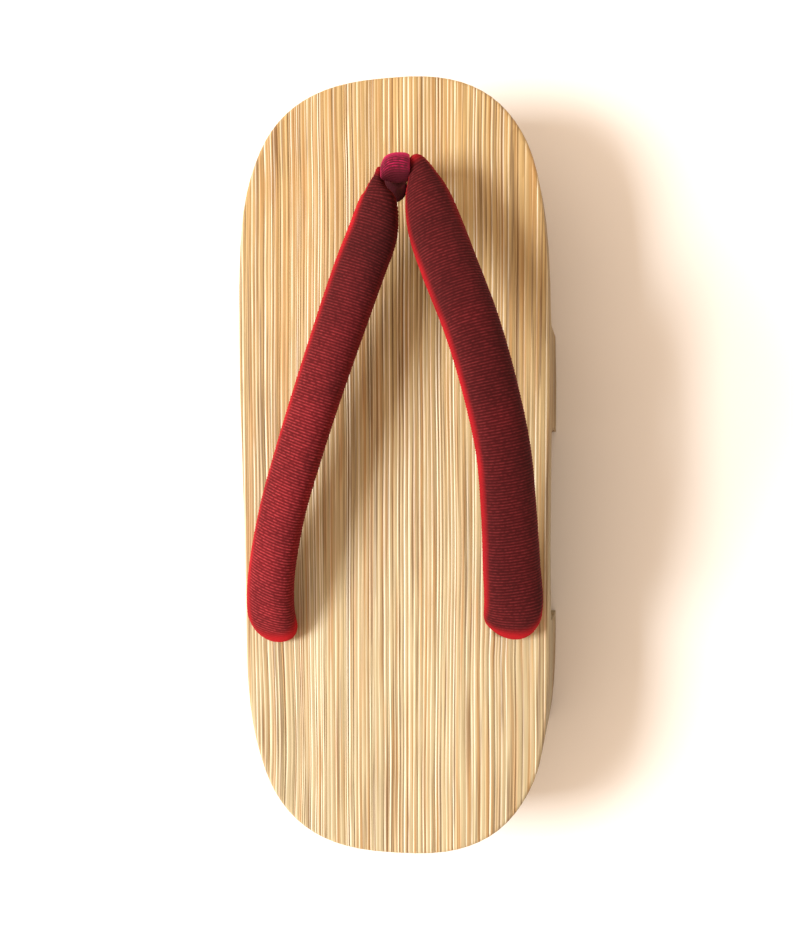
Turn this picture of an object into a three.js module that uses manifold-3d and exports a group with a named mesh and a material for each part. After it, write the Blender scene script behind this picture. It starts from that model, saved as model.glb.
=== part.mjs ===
// A one-piece carved wooden geta sandal with a padded thong strap, standing on its two teeth.
// Millimetres, +Z up, +Y towards the toe, +X to the wearer's right.
// The origin lies on the floor under the middle of the board.

import * as THREE from "three";
import { mergeVertices } from "three/addons/utils/BufferGeometryUtils.js";
import Module from "manifold-3d";

const wasm = await Module();
wasm.setup();

// Driving dimensions of the wooden sole.
const LENGTH = 236;
const BALL_WIDTH = 96.5;
const HEEL_WIDTH = 94;
const HEIGHT = 45;
const BOARD_THICKNESS = 14.5;
const TOE_OVERHANG = 75.7;
const FRONT_TOOTH_DEPTH = 32;
const TOOTH_GAP = 59.8;
const REAR_TOOTH_DEPTH = 37.8;

// The board's ends: how far the curve reaches in from each tip, and its two exponents.
const TOE_END = { reach: 92, acrossPower: 2.6, alongPower: 4.4 };
const HEEL_END = { reach: 90, acrossPower: 2.6, alongPower: 4.3 };
const END_STEPS = 20;

// Edges of the wood.
const ARRIS = 1;
const ARRIS_STEPS = 3;
const TOOTH_EDGE_RADIUS = 2;
const TOOTH_ROOT_RADIUS = 4;
const SAW_CUT_STEPS = 4;
const SAW_OVERRUN = 10;

// The three strap holes, and the hollows for the rear knots at the root of the rear tooth.
const HOLE_RADIUS = 4.25;
const FRONT_HOLE = { x: 2, y: 83.5 };
const REAR_HOLES = [
  { name: "left", x: -36.1, y: -50.2 },
  { name: "right", x: 34.7, y: -48 },
];
const KNOT_HOLLOW_RADIUS = 6.6;
const KNOT_HOLLOW_DEPTH = 7.5;
const KNOT_AHEAD = 1.5;
const HOLE_SIDES = 28;
const HOLE_OVERRUN = 1;

// Clearance between touching pieces, and how near two vertices count as one.
const GAP = 0.3;
const WELD = 1e-4;

// The strap: sides of its oval section, steps along an arm, and the radius that closes its ends.
const ARM_SIDES = 18;
const ARM_STEPS = 40;
const ARM_OVAL_POWER = 2.3;
const TOE_END_RADIUS = 2;
const REAR_END_RADIUS = 8;
const NECK_STEPS = 4;
const REAR_STEM_RADIUS = 3.9;
const REAR_STEM_RISE = 2;

// The narrowest share of its section that a rounded end closes to.
const END_SHARE = 0.08;

// Each arm from the toe loop to its rear hole: place in plan, rise of its middle above the board,
// width, thickness, and how far its outer edge hangs down, in degrees.
const LEFT_ARM = [
  { x: 0.9, y: 87.4, rise: 16.0, wide: 2.6, thick: 6.0, droop: 0 },
  { x: 0.5, y: 83.0, rise: 16.2, wide: 2.9, thick: 6.8, droop: 0 },
  { x: 0.7, y: 79.2, rise: 16.5, wide: 6.4, thick: 7.6, droop: 2 },
  { x: 1.1, y: 76.0, rise: 16.8, wide: 10.4, thick: 8.4, droop: 4 },
  { x: 0.5, y: 71.6, rise: 17.0, wide: 13.2, thick: 9.0, droop: 6 },
  { x: -1.0, y: 65.5, rise: 17.4, wide: 15.2, thick: 9.3, droop: 8 },
  { x: -4.7, y: 56.0, rise: 17.8, wide: 15.8, thick: 9.5, droop: 11 },
  { x: -11.2, y: 38.5, rise: 18.0, wide: 15.8, thick: 9.5, droop: 15 },
  { x: -17.7, y: 21.0, rise: 18.0, wide: 15.6, thick: 9.5, droop: 17 },
  { x: -23.7, y: 3.7, rise: 17.6, wide: 15.4, thick: 9.4, droop: 19 },
  { x: -29.5, y: -13.7, rise: 16.0, wide: 15.1, thick: 9.3, droop: 20 },
  { x: -33.7, y: -30.7, rise: 13.0, wide: 15.0, thick: 9.2, droop: 18 },
  { x: -35.7, y: -41.7, rise: 8.8, wide: 14.9, thick: 8.9, droop: 11 },
  { x: -36.3, y: -48.9, rise: 4.6, wide: 14.6, thick: 8.4, droop: 4 },
  { x: -36.2, y: -54.7, rise: 0.8, wide: 14.0, thick: 8.0, droop: 0 },
];
const RIGHT_ARM = [
  { x: 11.5, y: 88.2, rise: 16.2, wide: 3.2, thick: 6.0, droop: 0 },
  { x: 12.6, y: 85.1, rise: 16.5, wide: 5.4, thick: 6.8, droop: 0 },
  { x: 13.7, y: 81.9, rise: 16.8, wide: 7.8, thick: 7.6, droop: 2 },
  { x: 14.8, y: 77.6, rise: 17.5, wide: 11.0, thick: 8.4, droop: 3 },
  { x: 16.1, y: 72.5, rise: 18.8, wide: 13.7, thick: 9.0, droop: 5 },
  { x: 18.3, y: 64.7, rise: 20.8, wide: 15.8, thick: 9.3, droop: 7 },
  { x: 22.0, y: 54.1, rise: 24.2, wide: 15.9, thick: 9.5, droop: 10 },
  { x: 28.7, y: 36.4, rise: 29.0, wide: 15.4, thick: 9.5, droop: 13 },
  { x: 33.4, y: 19.4, rise: 29.4, wide: 15.2, thick: 9.5, droop: 15 },
  { x: 36.2, y: 2.8, rise: 26.0, wide: 15.3, thick: 9.4, droop: 17 },
  { x: 37.1, y: -14.4, rise: 19.4, wide: 15.5, thick: 9.3, droop: 18 },
  { x: 37.1, y: -30.8, rise: 12.6, wide: 16.0, thick: 9.2, droop: 16 },
  { x: 37.0, y: -40.8, rise: 8.3, wide: 16.3, thick: 8.9, droop: 10 },
  { x: 36.0, y: -47.3, rise: 4.5, wide: 15.6, thick: 8.4, droop: 4 },
  { x: 34.8, y: -52.6, rise: 0.8, wide: 14.4, thick: 8.0, droop: 0 },
];
const NECK = [
  { x: 0.9, y: 84.9, rise: 16.2, wide: 3.1, thick: 6.6, droop: 0 },
  { x: 6.2, y: 84.9, rise: 16.4, wide: 3.1, thick: 6.4, droop: 0 },
  { x: 12.4, y: 84.9, rise: 16.2, wide: 3.1, thick: 6.6, droop: 0 },
];

// The toe loop: a band round the strap's neck, and the stem that it gathers into.
const BAND = { x: 6.2, y: 84.9, rise: 16.2, halfLength: 3.0, halfHeight: 4.8 };
const BAND_HALF_WIDTH = 3.9;
const BAND_FOOT_HALF_WIDTH = 2.9;
const BAND_HALF_THICKNESS = 1.1;
const BAND_OVAL_POWER = 2.6;
const BAND_TUBE = 0.5;
const BAND_STEPS = 32;
const BAND_SIDES = 14;
const TOE_STEM = [
  { x: 5.7, y: 84.7, rise: 12.0, wide: 5.6, thick: 4.2 },
  { x: 4.9, y: 84.4, rise: 8.6, wide: 6.6, thick: 5.8 },
  { x: 2.8, y: 83.8, rise: 4.6, wide: 7.0, thick: 6.8 },
  { x: 2.0, y: 83.5, rise: 1.2, wide: 7.7, thick: 7.7 },
  { x: 2.0, y: 83.5, rise: -7.0, wide: 7.7, thick: 7.7 },
  { x: 2.0, y: 83.5, rise: -BOARD_THICKNESS, wide: 7.7, thick: 7.7 },
];
const STEM_STEPS = 12;

// A cord knot under each hole: a trefoil of cord with two short tails.
const CORD_RADIUS = 1.35;
const KNOT_RADIUS = 3;
const KNOT_TURNS = { around: 2, through: 3 };
const KNOT_STEPS = 48;
const CORD_SIDES = 8;
const TAIL_LENGTH = 11;
const TAIL_SHARES = [0.35, 0.7, 1];
const TAIL_STEPS = 5;
const TAIL_DROP = 2;
const TAIL_SPREAD = 0.35;
const REAR_TAIL_HEADING = 1.1;

// Finishes.
const CEDAR = { color: 0xd8b27a, roughness: 0.6, metalness: 0 };
const RED_VELVET = { color: 0x7a1420, roughness: 0.9, metalness: 0 };
const PURPLE_VELVET = { color: 0x9c1458, roughness: 0.9, metalness: 0 };
const COTTON_CORD = { color: 0xe6dcc4, roughness: 0.85, metalness: 0 };

// Heights and faces that follow from the driving dimensions.
const BOARD_TOP = HEIGHT;
const BOARD_UNDERSIDE = HEIGHT - BOARD_THICKNESS;
const TOE_TIP = LENGTH / 2;
const HEEL_TIP = -LENGTH / 2;
const FRONT_TOOTH_FRONT = TOE_TIP - TOE_OVERHANG;
const FRONT_TOOTH_BACK = FRONT_TOOTH_FRONT - FRONT_TOOTH_DEPTH;
const REAR_TOOTH_FRONT = FRONT_TOOTH_BACK - TOOTH_GAP;
const REAR_TOOTH_BACK = REAR_TOOTH_FRONT - REAR_TOOTH_DEPTH;

const UP = new THREE.Vector3(0, 0, 1);
const FORWARD = new THREE.Vector3(0, 1, 0);
const RIGHT = new THREE.Vector3(1, 0, 0);

// A closed three.js geometry as a solid that can be joined and cut.
function solid(geometry) {
  const bare = geometry.clone();
  bare.deleteAttribute("normal");
  bare.deleteAttribute("uv");
  const merged = mergeVertices(bare, WELD);
  return new wasm.Manifold(
    new wasm.Mesh({
      numProp: 3,
      vertProperties: merged.attributes.position.array,
      triVerts: new Uint32Array(merged.index.array),
    }),
  );
}

// The finished solid as a named mesh.
function meshOf(name, finish, body) {
  const made = body.getMesh();
  const geometry = new THREE.BufferGeometry();
  geometry.setAttribute("position", new THREE.BufferAttribute(made.vertProperties, 3));
  geometry.setIndex(new THREE.BufferAttribute(made.triVerts, 1));
  geometry.computeVertexNormals();
  const mesh = new THREE.Mesh(geometry, new THREE.MeshStandardMaterial(finish));
  mesh.name = name;
  return mesh;
}

// A round bar along Z between two heights.
function uprightBar(x, y, low, high, radius) {
  const bar = new THREE.CylinderGeometry(radius, radius, high - low, HOLE_SIDES);
  bar.rotateX(Math.PI / 2);
  bar.translate(x, y, (low + high) / 2);
  return solid(bar);
}

// One coordinate of a unit superellipse.
function oval(unit, power) {
  return Math.sign(unit) * Math.abs(unit) ** (2 / power);
}

// A quarter of one end of the board, from the flank to the tip.
function endQuarter(end, tip, halfWidth) {
  const points = [];
  for (let step = 0; step <= END_STEPS; step += 1) {
    const angle = (step / END_STEPS) * (Math.PI / 2);
    const inward = end.reach * (1 - oval(Math.sin(angle), end.alongPower));
    const x = step === END_STEPS ? 0 : halfWidth * oval(Math.cos(angle), end.acrossPower);
    points.push(new THREE.Vector2(x, tip - Math.sign(tip) * inward));
  }
  return points;
}

// The board's outline, counterclockwise from the right flank.
function boardOutline() {
  const toe = endQuarter(TOE_END, TOE_TIP, BALL_WIDTH / 2);
  const heel = endQuarter(HEEL_END, HEEL_TIP, HEEL_WIDTH / 2);
  const mirrored = (points) => points.slice(0, -1).map((p) => new THREE.Vector2(-p.x, p.y));
  return new THREE.Shape([
    ...toe,
    ...mirrored(toe).reverse(),
    ...mirrored(heel),
    ...[...heel].reverse(),
  ]);
}

// What the saw takes from under the board between two tooth faces. A null face is open to the end.
function sawCut(backFace, frontFace) {
  const top = BOARD_UNDERSIDE;
  const edge = TOOTH_EDGE_RADIUS;
  const root = TOOTH_ROOT_RADIUS;
  const quarter = Math.PI / 2;
  const profile = new THREE.Shape();
  if (backFace === null) {
    profile.moveTo(HEEL_TIP - SAW_OVERRUN, -SAW_OVERRUN);
    profile.lineTo(HEEL_TIP - SAW_OVERRUN, top);
  } else {
    profile.moveTo(backFace - edge, -SAW_OVERRUN);
    profile.absarc(backFace - edge, edge, edge, -quarter, 0, false);
    profile.absarc(backFace + root, top - root, root, 2 * quarter, quarter, true);
  }
  if (frontFace === null) {
    profile.lineTo(TOE_TIP + SAW_OVERRUN, top);
    profile.lineTo(TOE_TIP + SAW_OVERRUN, -SAW_OVERRUN);
  } else {
    profile.absarc(frontFace - root, top - root, root, quarter, 0, true);
    profile.absarc(frontFace + edge, edge, edge, 2 * quarter, 3 * quarter, false);
    profile.lineTo(frontFace + edge, -SAW_OVERRUN);
  }
  const cut = new THREE.ExtrudeGeometry(profile, {
    depth: BALL_WIDTH + 2 * SAW_OVERRUN,
    bevelEnabled: false,
    curveSegments: SAW_CUT_STEPS,
  });
  cut.translate(0, 0, -BALL_WIDTH / 2 - SAW_OVERRUN);
  cut.applyMatrix4(new THREE.Matrix4().makeBasis(FORWARD, UP, RIGHT));
  return solid(cut);
}

// Board and teeth, carved from one block: outline, three saw cuts, three holes, two knot hollows.
function woodenSole() {
  const block = new THREE.ExtrudeGeometry(boardOutline(), {
    depth: HEIGHT - 2 * ARRIS,
    bevelThickness: ARRIS,
    bevelSize: ARRIS,
    bevelOffset: -ARRIS,
    bevelSegments: ARRIS_STEPS,
  });
  block.translate(0, 0, ARRIS);
  let sole = solid(block)
    .subtract(sawCut(FRONT_TOOTH_FRONT, null))
    .subtract(sawCut(REAR_TOOTH_FRONT, FRONT_TOOTH_BACK))
    .subtract(sawCut(null, REAR_TOOTH_BACK));
  const low = BOARD_UNDERSIDE - KNOT_HOLLOW_DEPTH;
  for (const hole of [FRONT_HOLE, ...REAR_HOLES]) {
    sole = sole.subtract(uprightBar(hole.x, hole.y, low, BOARD_TOP + HOLE_OVERRUN, HOLE_RADIUS));
  }
  for (const hole of REAR_HOLES) {
    const middle = hole.y + KNOT_AHEAD;
    sole = sole.subtract(uprightBar(hole.x, middle, low, BOARD_UNDERSIDE, KNOT_HOLLOW_RADIUS));
  }
  return sole;
}

// A closed oval tube through the rows' places. The section's thickness lies along up, turned by each
// row's droop, and endRadii closes the first and last stretch to a round end (0 leaves it flat).
function sweep(rows, { sides, steps, up, power, side, endRadii }) {
  const path = new THREE.CatmullRomCurve3(
    rows.map((row) => new THREE.Vector3(row.x, row.y, BOARD_TOP + row.rise)),
  );
  const sizes = new THREE.CatmullRomCurve3(
    rows.map((row) => new THREE.Vector3(row.wide / 2, row.thick / 2, row.droop ?? 0)),
  );
  const length = path.getLength();
  const closing = (distance, radius) =>
    distance < radius ? Math.sqrt(1 - (1 - distance / radius) ** 2) : 1;
  const tube = new THREE.CylinderGeometry(1, 1, 1, sides, steps);
  const place = tube.attributes.position;
  for (let i = 0; i < place.count; i += 1) {
    // Steps crowd towards both ends, where the form rounds off.
    const along = (1 - Math.cos(Math.PI * (0.5 - place.getY(i)))) / 2;
    const middle = path.getPointAt(along);
    const tangent = path.getTangentAt(along);
    const size = sizes.getPoint(path.getUtoTmapping(along));
    const nearStart = closing(along * length, endRadii[0]);
    const nearEnd = closing((1 - along) * length, endRadii[1]);
    const scale = Math.max(nearStart * nearEnd, END_SHARE);
    const thickWay = up.clone().addScaledVector(tangent, -up.dot(tangent)).normalize();
    const wideWay = thickWay.clone().cross(tangent);
    const turn = new THREE.Quaternion().setFromAxisAngle(
      tangent,
      THREE.MathUtils.degToRad(side * size.z),
    );
    const wide = size.x * scale * oval(place.getX(i), power);
    const thick = size.y * scale * oval(place.getZ(i), power);
    middle.addScaledVector(wideWay.applyQuaternion(turn), wide);
    middle.addScaledVector(thickWay.applyQuaternion(turn), thick);
    place.setXYZ(i, middle.x, middle.y, middle.z);
  }
  return solid(tube);
}

// Two padded arms, joined by the neck inside the toe loop, their rear ends drawn into the holes.
function strap() {
  const arm = { sides: ARM_SIDES, up: UP, power: ARM_OVAL_POWER };
  const armEnds = [TOE_END_RADIUS, REAR_END_RADIUS];
  const left = sweep(LEFT_ARM, { ...arm, steps: ARM_STEPS, side: 1, endRadii: armEnds });
  const right = sweep(RIGHT_ARM, { ...arm, steps: ARM_STEPS, side: -1, endRadii: armEnds });
  const neck = sweep(NECK, { ...arm, steps: NECK_STEPS, power: 2, side: 1, endRadii: [0, 0] });
  const slab = new THREE.BoxGeometry(BALL_WIDTH, LENGTH, HEIGHT);
  slab.translate(0, 0, BOARD_TOP + GAP - HEIGHT / 2);
  let body = left.add(right).add(neck).subtract(solid(slab));
  const stemTop = BOARD_TOP + REAR_STEM_RISE;
  for (const hole of REAR_HOLES) {
    const stem = uprightBar(hole.x, hole.y, BOARD_UNDERSIDE, stemTop, REAR_STEM_RADIUS);
    body = body.add(stem);
  }
  return body;
}

// The band of the toe loop: a flattened ring that stands across the strap's neck.
function band() {
  const ring = new THREE.TorusGeometry(1, BAND_TUBE, BAND_SIDES, BAND_STEPS);
  const place = ring.attributes.position;
  for (let i = 0; i < place.count; i += 1) {
    const round = Math.hypot(place.getX(i), place.getY(i));
    const forward = place.getX(i) / round;
    const upward = place.getY(i) / round;
    const outward = BAND_HALF_THICKNESS * oval((round - 1) / BAND_TUBE, BAND_OVAL_POWER);
    const rise = (BAND.halfHeight + outward) * upward;
    const share = THREE.MathUtils.clamp(0.5 + rise / (2 * BAND.halfHeight), 0, 1);
    const halfWidth = THREE.MathUtils.lerp(BAND_FOOT_HALF_WIDTH, BAND_HALF_WIDTH, share);
    place.setXYZ(
      i,
      BAND.x + halfWidth * oval(place.getZ(i) / BAND_TUBE, BAND_OVAL_POWER),
      BAND.y + (BAND.halfLength + outward) * forward,
      BOARD_TOP + BAND.rise + rise,
    );
  }
  return solid(ring);
}

// The toe loop: its band and the stem that goes down through the front hole.
function toeLoop() {
  const stem = sweep(TOE_STEM, {
    sides: ARM_SIDES,
    steps: STEM_STEPS,
    up: FORWARD,
    power: 2,
    side: 0,
    endRadii: [0, 0],
  });
  return band().add(stem);
}

// A knotted cord against the board's underside, its tails pointing along the given heading.
function knot(x, y, heading) {
  const trefoil = new THREE.TorusKnotGeometry(
    KNOT_RADIUS,
    CORD_RADIUS,
    KNOT_STEPS,
    CORD_SIDES,
    KNOT_TURNS.around,
    KNOT_TURNS.through,
  );
  const halfHeight = KNOT_RADIUS / 2 + CORD_RADIUS;
  const middle = BOARD_UNDERSIDE - GAP - halfHeight;
  trefoil.translate(x, y, middle);
  let body = solid(trefoil);
  for (const spread of [-TAIL_SPREAD, TAIL_SPREAD]) {
    const angle = heading + spread;
    const tail = TAIL_SHARES.map((share) => ({
      x: x + Math.cos(angle) * TAIL_LENGTH * share,
      y: y + Math.sin(angle) * TAIL_LENGTH * share,
      rise: middle - BOARD_TOP - TAIL_DROP * share,
      wide: 2 * CORD_RADIUS,
      thick: 2 * CORD_RADIUS,
    }));
    body = body.add(
      sweep(tail, {
        sides: CORD_SIDES,
        steps: TAIL_STEPS,
        up: UP,
        power: 2,
        side: 0,
        endRadii: [0, 0],
      }),
    );
  }
  return body;
}

const geta = new THREE.Group();
geta.add(meshOf("wooden_sole", CEDAR, woodenSole()));
geta.add(meshOf("strap", RED_VELVET, strap()));
geta.add(meshOf("toe_loop", PURPLE_VELVET, toeLoop()));
geta.add(meshOf("front_knot", COTTON_CORD, knot(FRONT_HOLE.x, FRONT_HOLE.y, -Math.PI / 2)));
for (const hole of REAR_HOLES) {
  const inward = hole.x < 0 ? REAR_TAIL_HEADING : Math.PI - REAR_TAIL_HEADING;
  geta.add(
    meshOf("rear_knot_" + hole.name, COTTON_CORD, knot(hole.x, hole.y + KNOT_AHEAD, inward)),
  );
}

export default geta;
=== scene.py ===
import math
import random
from bisect import bisect_right

import bmesh
import bpy
from bpy.props import FloatProperty, FloatVectorProperty, IntProperty, PointerProperty
from mathutils import Matrix, Quaternion, Vector, noise


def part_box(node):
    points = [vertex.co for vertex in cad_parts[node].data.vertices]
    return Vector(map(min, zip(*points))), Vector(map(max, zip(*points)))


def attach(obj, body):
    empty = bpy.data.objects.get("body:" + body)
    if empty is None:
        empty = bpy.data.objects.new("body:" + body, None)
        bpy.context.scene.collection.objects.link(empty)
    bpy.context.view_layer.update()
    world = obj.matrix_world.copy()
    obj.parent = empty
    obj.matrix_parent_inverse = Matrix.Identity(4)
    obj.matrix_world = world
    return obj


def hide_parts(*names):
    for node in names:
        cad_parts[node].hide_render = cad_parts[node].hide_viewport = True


bl_info = {
    "name": "Geta Sandal",
    "version": (1, 0, 0),
    "blender": (4, 5, 0),
    "location": "3D View > Sidebar > Geta",
    "description": "Brushed cedar sole, ribbed velvet strap, toe loop and cord knots in a soft studio",
    "category": "Object",
}

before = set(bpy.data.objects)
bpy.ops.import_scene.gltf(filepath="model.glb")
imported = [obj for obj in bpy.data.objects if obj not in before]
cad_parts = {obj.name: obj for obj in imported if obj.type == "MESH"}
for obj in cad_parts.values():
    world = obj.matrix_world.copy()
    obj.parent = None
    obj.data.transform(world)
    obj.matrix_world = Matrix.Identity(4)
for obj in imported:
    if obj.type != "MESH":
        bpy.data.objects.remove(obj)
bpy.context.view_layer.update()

MM = 0.001

# The board, in millimetres, as the sizes below are too.
BOARD_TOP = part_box("wooden_sole")[1].z / MM
BOARD_THICKNESS = 14.5
BOARD_UNDERSIDE = BOARD_TOP - BOARD_THICKNESS
HALF_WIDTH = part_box("wooden_sole")[1].x / MM
HALF_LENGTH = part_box("wooden_sole")[1].y / MM

# The eased edge round the board's top, and how many rows of points the brushed top has.
ARRIS = 1.0
BOARD_ROWS = 90

# The grain leans to the right towards the toe: how far for each millimetre of length along the
# middle of the board, and what each millimetre to the right adds to that.
LEAN = 0.0105
LEAN_SPREAD = 0.00022

# How far a ring shifts sideways for each millimetre down, so that the flanks cut the rings at a
# slant and show them as long streaks.
RING_TILT = 0.14

# The growth rings: how far past the flanks they go on, how uneven their spacing is, and how much
# wider apart they lie at the right flank.
RING_MARGIN = 4
RING_SCATTER = 0.6
RIGHT_RING_SPREAD = 0.5

# How far a grain line wanders sideways, and how much a groove's depth changes along it.
LINE_WANDER = 0.9
GROOVE_WAVER = 0.6

# Middles of the strap holes, front first.
HOLES = [(2.0, 83.5), (-36.1, -50.2), (34.7, -48.0)]
HOLE_RADIUS = 4.25

# Each arm from the toe loop to its rear hole: place in plan, rise of its middle above the board,
# width, thickness, how far its outer edge hangs down, how far its ribs slant, in degrees, and how
# far the stuffing spreads them.
LEFT_ARM = [
    (1.7, 85.4, 16.0, 2.6, 5.6, 0, 12, 1.06),
    (1.0, 82.0, 16.2, 3.1, 6.6, 0, 12, 1.06),
    (0.8, 79.2, 16.5, 6.2, 7.6, 2, 12, 1.06),
    (1.1, 76.0, 16.8, 10.4, 8.4, 4, 12, 1.06),
    (0.5, 71.6, 17.0, 13.2, 9.0, 6, 11, 1.06),
    (-1.0, 65.5, 17.4, 15.2, 9.3, 8, 5, 1.03),
    (-4.7, 56.0, 17.8, 15.8, 9.5, 11, 0, 1.01),
    (-11.2, 38.5, 18.0, 15.8, 9.5, 15, 0, 1.0),
    (-17.5, 21.0, 18.0, 15.4, 9.5, 17, 0, 1.0),
    (-23.5, 3.7, 17.6, 15.2, 9.4, 19, 1, 1.0),
    (-29.3, -13.7, 16.0, 15.1, 9.3, 20, 3, 1.02),
    (-33.6, -30.7, 13.0, 15.3, 9.2, 18, 6, 1.04),
    (-35.6, -41.7, 8.8, 15.4, 8.9, 11, 11, 1.12),
    (-36.1, -48.9, 4.6, 15.1, 8.4, 4, 16, 1.18),
    (-36.0, -54.2, 0.8, 14.0, 8.0, 0, 20, 1.18),
]
RIGHT_ARM = [
    (11.2, 87.9, 16.2, 3.6, 6.0, 0, -9, 1.1),
    (12.3, 85.1, 16.5, 6.0, 6.8, 0, -9, 1.1),
    (13.5, 81.9, 16.8, 8.2, 7.6, 2, -9, 1.1),
    (14.5, 77.6, 17.5, 11.6, 8.4, 3, -9, 1.1),
    (15.9, 72.5, 18.8, 14.1, 9.0, 5, -7, 1.13),
    (18.3, 64.7, 20.8, 15.8, 9.3, 7, -3, 1.17),
    (22.2, 54.1, 24.2, 16.0, 9.5, 10, 1, 1.1),
    (29.0, 36.4, 29.0, 15.5, 9.5, 13, 1, 0.95),
    (33.7, 19.4, 29.4, 15.2, 9.5, 15, 2, 0.93),
    (36.7, 2.8, 26.0, 15.2, 9.4, 17, 1, 0.97),
    (37.4, -14.4, 19.4, 15.7, 9.3, 18, -2, 1.08),
    (37.4, -30.8, 12.6, 16.6, 9.2, 16, 0, 1.12),
    (37.4, -40.8, 8.3, 17.0, 8.9, 10, -3, 1.14),
    (36.3, -47.3, 4.5, 16.3, 8.4, 4, -8, 1.14),
    (34.8, -51.6, 0.8, 14.4, 8.0, 0, -14, 1.14),
]

# The neck that joins the arms, with the same columns but the last, as for the stems.
NECK = [
    (1.8, 84.9, 16.2, 3.1, 6.6, 0, 0),
    (6.2, 84.9, 16.4, 3.1, 6.4, 0, 0),
    (12.4, 84.9, 16.2, 3.1, 6.6, 0, 0),
]

# An arm's section and how many rows of points make a rib, the rounding of its two ends, and the
# stem under its rear end.
ARM_SIDES = 40
ARM_OVAL_POWER = 2.3
ROWS_PER_RIB = 5
TOE_END_RADIUS = 2.0
REAR_END_RADIUS = 9.5
REAR_STEM_RADIUS = 3.9

# The seam pressed into an arm's underside, with its width as a share of the arm's, and the fuzz
# that roughens the velvet, with how many times it changes in a millimetre.
SEAM_DEPTH = 0.35
SEAM_WIDTH = 0.16
FUZZ = 0.07
FUZZ_SCALE = 2.9

# How far the bare pile reaches from an arm's tip in the toe loop, and where along the right arm it
# ends on the edge to the right.
TOE_TIP_PILE = 4.4
TOE_PILE = (10, 45)

# How far the bare pile reaches from an arm's rear end, and how high over the board.
REAR_PILE = 16.0
REAR_PILE_HEIGHT = 9.2

# Over how many millimetres it fades into the ribs: in height, along the rear end, and at the tip.
PILE_FADE = {"height": 3.5, "rear_end": 5, "tip": 3}

# Where across an arm, from its middle to its edge, the bare pile starts on the edge to the left,
# and over how much of that way it fades in. That bright edge faces the window: painted sheen.
LEFT_ARM_SHEEN_RIM = 0.52
RIGHT_ARM_SHEEN_RIM = 0.78
SHEEN_RIM_FADE = 0.25

# How much of the ribs' place the bare pile takes: on the edge to the left, where it is painted
# sheen, on the edge to the right, on that edge near the toe, at the rear end, and at the tip.
BARE = {"painted_sheen_left_edge": 0.9, "right_edge": 0.12, "toe_edge": 0.5, "rear_end": 0.95, "tip": 0.7}

# Painted light and shade on the velvet: how far an arm's colour is darkened or brightened at
# its toe end and at its rear end, so the left arm is painted dark at the toe and bright towards
# the heel, and the right arm dark all along. The third setting is where along an arm it changes.
# The flank to the right, away from the window, is painted this share darker, as painted shade.
LEFT_PAINTED_LIGHT = (0.43, 1.02)
RIGHT_PAINTED_LIGHT = (0.48, 0.48)
PAINTED_LIGHT_TURN = (15, 95)
FLANK_PAINTED_SHADE = 0.22

# The toe loop's band: an oval ring that is narrower at its foot than at its top.
BAND = {"x": 6.5, "y": 84.9, "rise": 16.2, "half_length": 3.0, "half_height": 4.8}
BAND_HALF_WIDTH = 4.5
BAND_FOOT_HALF_WIDTH = 2.6
BAND_HALF_THICKNESS = 1.1
BAND_OVAL_POWER = 2.6
BAND_SIDES = 28
BAND_ROWS_PER_RIB = 6
BAND_RIB_HEIGHT = 0.14

# How far the band's edges lie back from its middle, and how far its left edge sags, for each
# square millimetre across.
BAND_BOW = 0.05
BAND_SAG = 0.07

# The stem that the band gathers into, and how far its colour is darkened: painted shade in the
# hollow between the arms.
STEM_PAINTED_SHADE = 0.55
TOE_STEM = [
    (5.7, 84.7, 12.0, 5.6, 4.2, 0, 0),
    (4.9, 84.6, 8.6, 6.4, 5.4, 0, 0),
    (2.8, 84.3, 4.6, 6.8, 6.0, 0, 0),
    (2.0, 84.0, 1.2, 7.2, 6.8, 0, 0),
    (2.0, 83.5, -7.0, 7.7, 7.7, 0, 0),
    (2.0, 83.5, -BOARD_THICKNESS, 7.7, 7.7, 0, 0),
]

# The cord knots: middle in plan and heading of the tails, one row for each node.
KNOTS = {
    "front_knot": (2.0, 83.5, -math.pi / 2),
    "rear_knot_left": (-36.1, -48.7, 1.1),
    "rear_knot_right": (34.7, -46.5, math.pi - 1.1),
}
KNOT_RADIUS = 3.0
KNOT_STEPS = 168

# A knot's tails: how far from its middle they reach, the share of that where they start, how far
# they drop, and half the angle between them.
TAIL_LENGTH = 11.0
TAIL_START = 0.35
TAIL_DROP = 2.0
TAIL_SPREAD = 0.35
TAIL_STEPS = 36

# The cord's strands, and how deep the valleys between them are as a share of its radius.
STRANDS = 3
STRAND_DEPTH = 0.2
CORD_SIDES = 18

# The gap between pieces that rest on each other.
GAP = 0.3

# An edge sharper than this many degrees isn't smoothed over.
SHARP_ANGLE = 50

# The studio, in metres: the floor's radius, how far it lies under the teeth, and the window.
FLOOR_RADIUS = 4.0
FLOOR_DROP = 0.0001
WINDOW_PLACE = (-1.0, -0.07, 1.24)
WINDOW_TINT = (0.97, 0.985, 1.0)

# The camera: its place and the point that it looks at, its roll in degrees, and its lens.
CAMERA_PLACE = (63.3, -4.6, 351.0)
CAMERA_TARGET = (2.0, 0.0, BOARD_TOP)
CAMERA_ROLL = 0.71
CAMERA_LENS = 40.0
CAMERA_SENSOR = 36.0


def linear(hex_colour):
    """An sRGB hex colour as linear red, green and blue."""
    shares = [int(hex_colour[i : i + 2], 16) / 255 for i in (1, 3, 5)]
    return tuple(s / 12.92 if s <= 0.04045 else ((s + 0.055) / 1.055) ** 2.4 for s in shares)


# Settings shown in the sidebar.


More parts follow.
